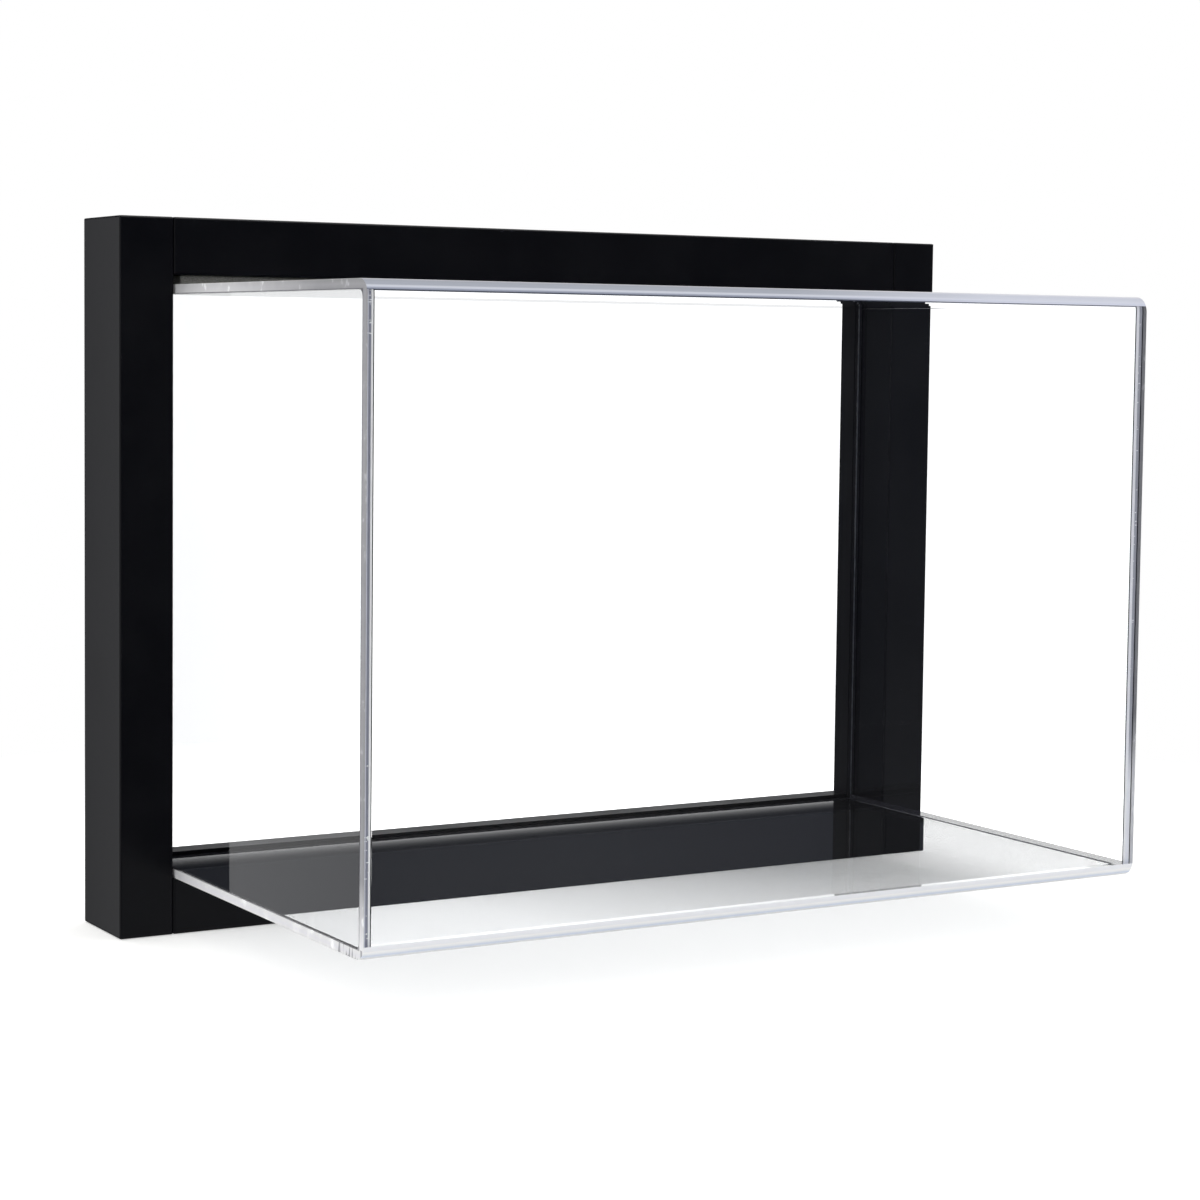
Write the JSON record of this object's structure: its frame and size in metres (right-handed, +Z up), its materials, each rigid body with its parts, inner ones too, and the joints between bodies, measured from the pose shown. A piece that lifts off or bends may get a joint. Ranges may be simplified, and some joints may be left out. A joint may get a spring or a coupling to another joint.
{
  "type": "glove display case",
  "caption": "Wall-hung display case for a ball glove: a black wooden frame with a clear five-sided cover that pulls forward out of the frame's opening, and a clear back.",
  "frame": {"origin": "In the wall plane, midway between the entry holes of the two keyhole hangers", "axes": "+X to the viewer's right along the frame, +Y into the wall, +Z up"},
  "size_m": [0.413, 0.222, 0.298],
  "materials": {
    "black_wood": "satin black lacquer",
    "dowel_wood": "bare beech",
    "clear_acrylic": "clear, polished",
    "sponge": "grey closed-cell sponge",
    "zinc_steel": "zinc plated"
  },
  "bodies": {
    "frame": {"left_stile": "black_wood", "right_stile": "black_wood", "top_rail": "black_wood", "bottom_rail": "black_wood", "corner_dowels": "dowel_wood", "cover_stop_left": "black_wood", "cover_stop_right": "black_wood", "cover_stop_top": "black_wood", "cover_stop_bottom": "black_wood", "stop_brads": "zinc_steel", "back_panel": "clear_acrylic", "back_bead_left": "black_wood", "back_bead_right": "black_wood", "back_bead_top": "black_wood", "back_bead_bottom": "black_wood", "bead_brads": "zinc_steel", "left_hanger": "zinc_steel", "right_hanger": "zinc_steel", "hanger_screws": "zinc_steel", "grip_strip": "sponge"},
    "cover": {"cover_wrap": "clear_acrylic", "cover_left_end": "clear_acrylic", "cover_right_end": "clear_acrylic"}
  },
  "joints": [
    {"name": "cover_pull", "type": "slide", "parent": "frame", "child": "cover", "axis": [0, -1, 0], "range_m": [0, 0.21]}
  ]
}
